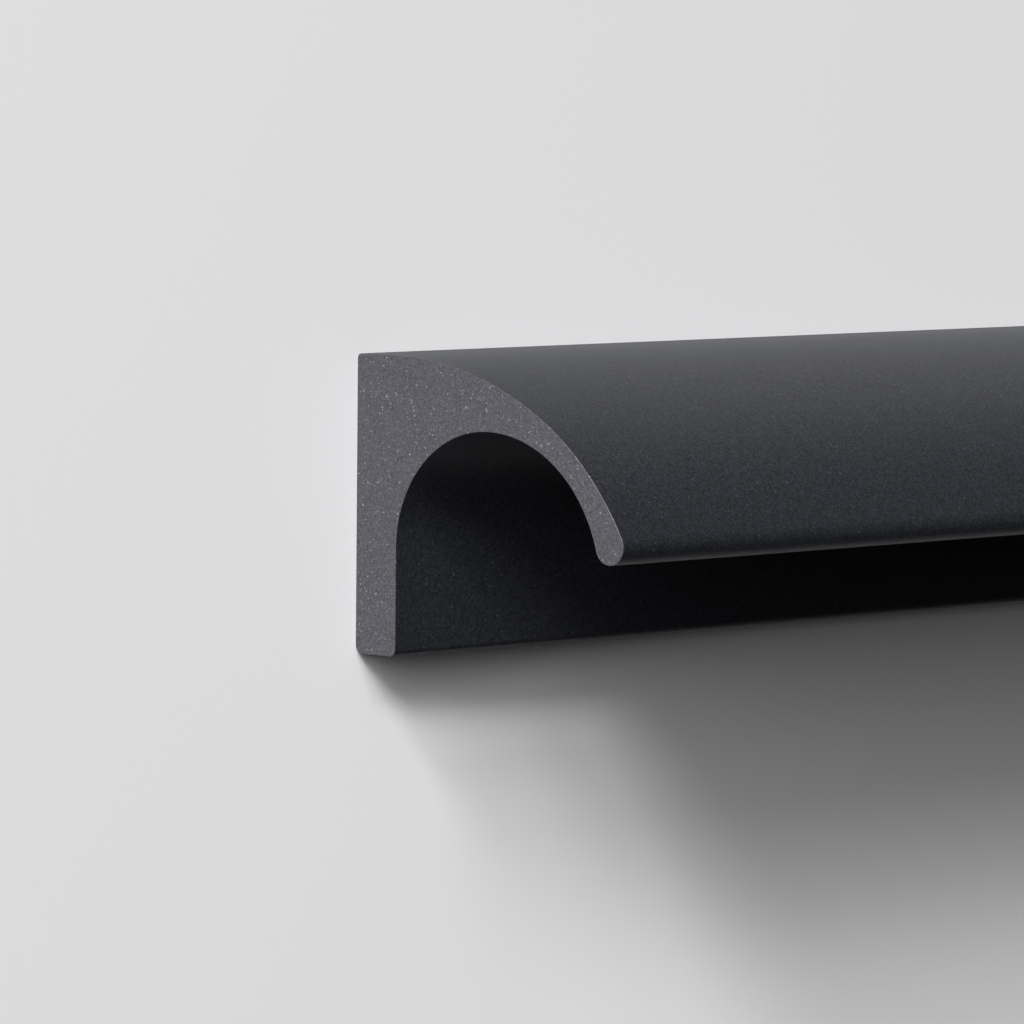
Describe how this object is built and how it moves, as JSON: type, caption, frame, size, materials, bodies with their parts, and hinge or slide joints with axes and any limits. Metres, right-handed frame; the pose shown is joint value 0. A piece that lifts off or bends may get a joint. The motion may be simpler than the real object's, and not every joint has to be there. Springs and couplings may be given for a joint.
{
  "type": "cabinet pull",
  "caption": "Extruded cabinet pull: flat back, curved front down to a rounded lip, an arched finger recess open below, and tapped screw holes in the back.",
  "frame": {"origin": "middle of the flat back face, halfway along the bar and halfway up it", "axes": "+X along the bar, to the right when it is seen from the front; +Y up the front it is screwed to, towards the thick top edge; +Z out of that front, so the flat back lies on Z = 0"},
  "size_m": [0.2, 0.025, 0.0296],
  "materials": {
    "black_anodised": "fine bead-blasted, black anodised, matt"
  },
  "bodies": {
    "root": {"pull_profile": "black_anodised"}
  },
  "joints": []
}
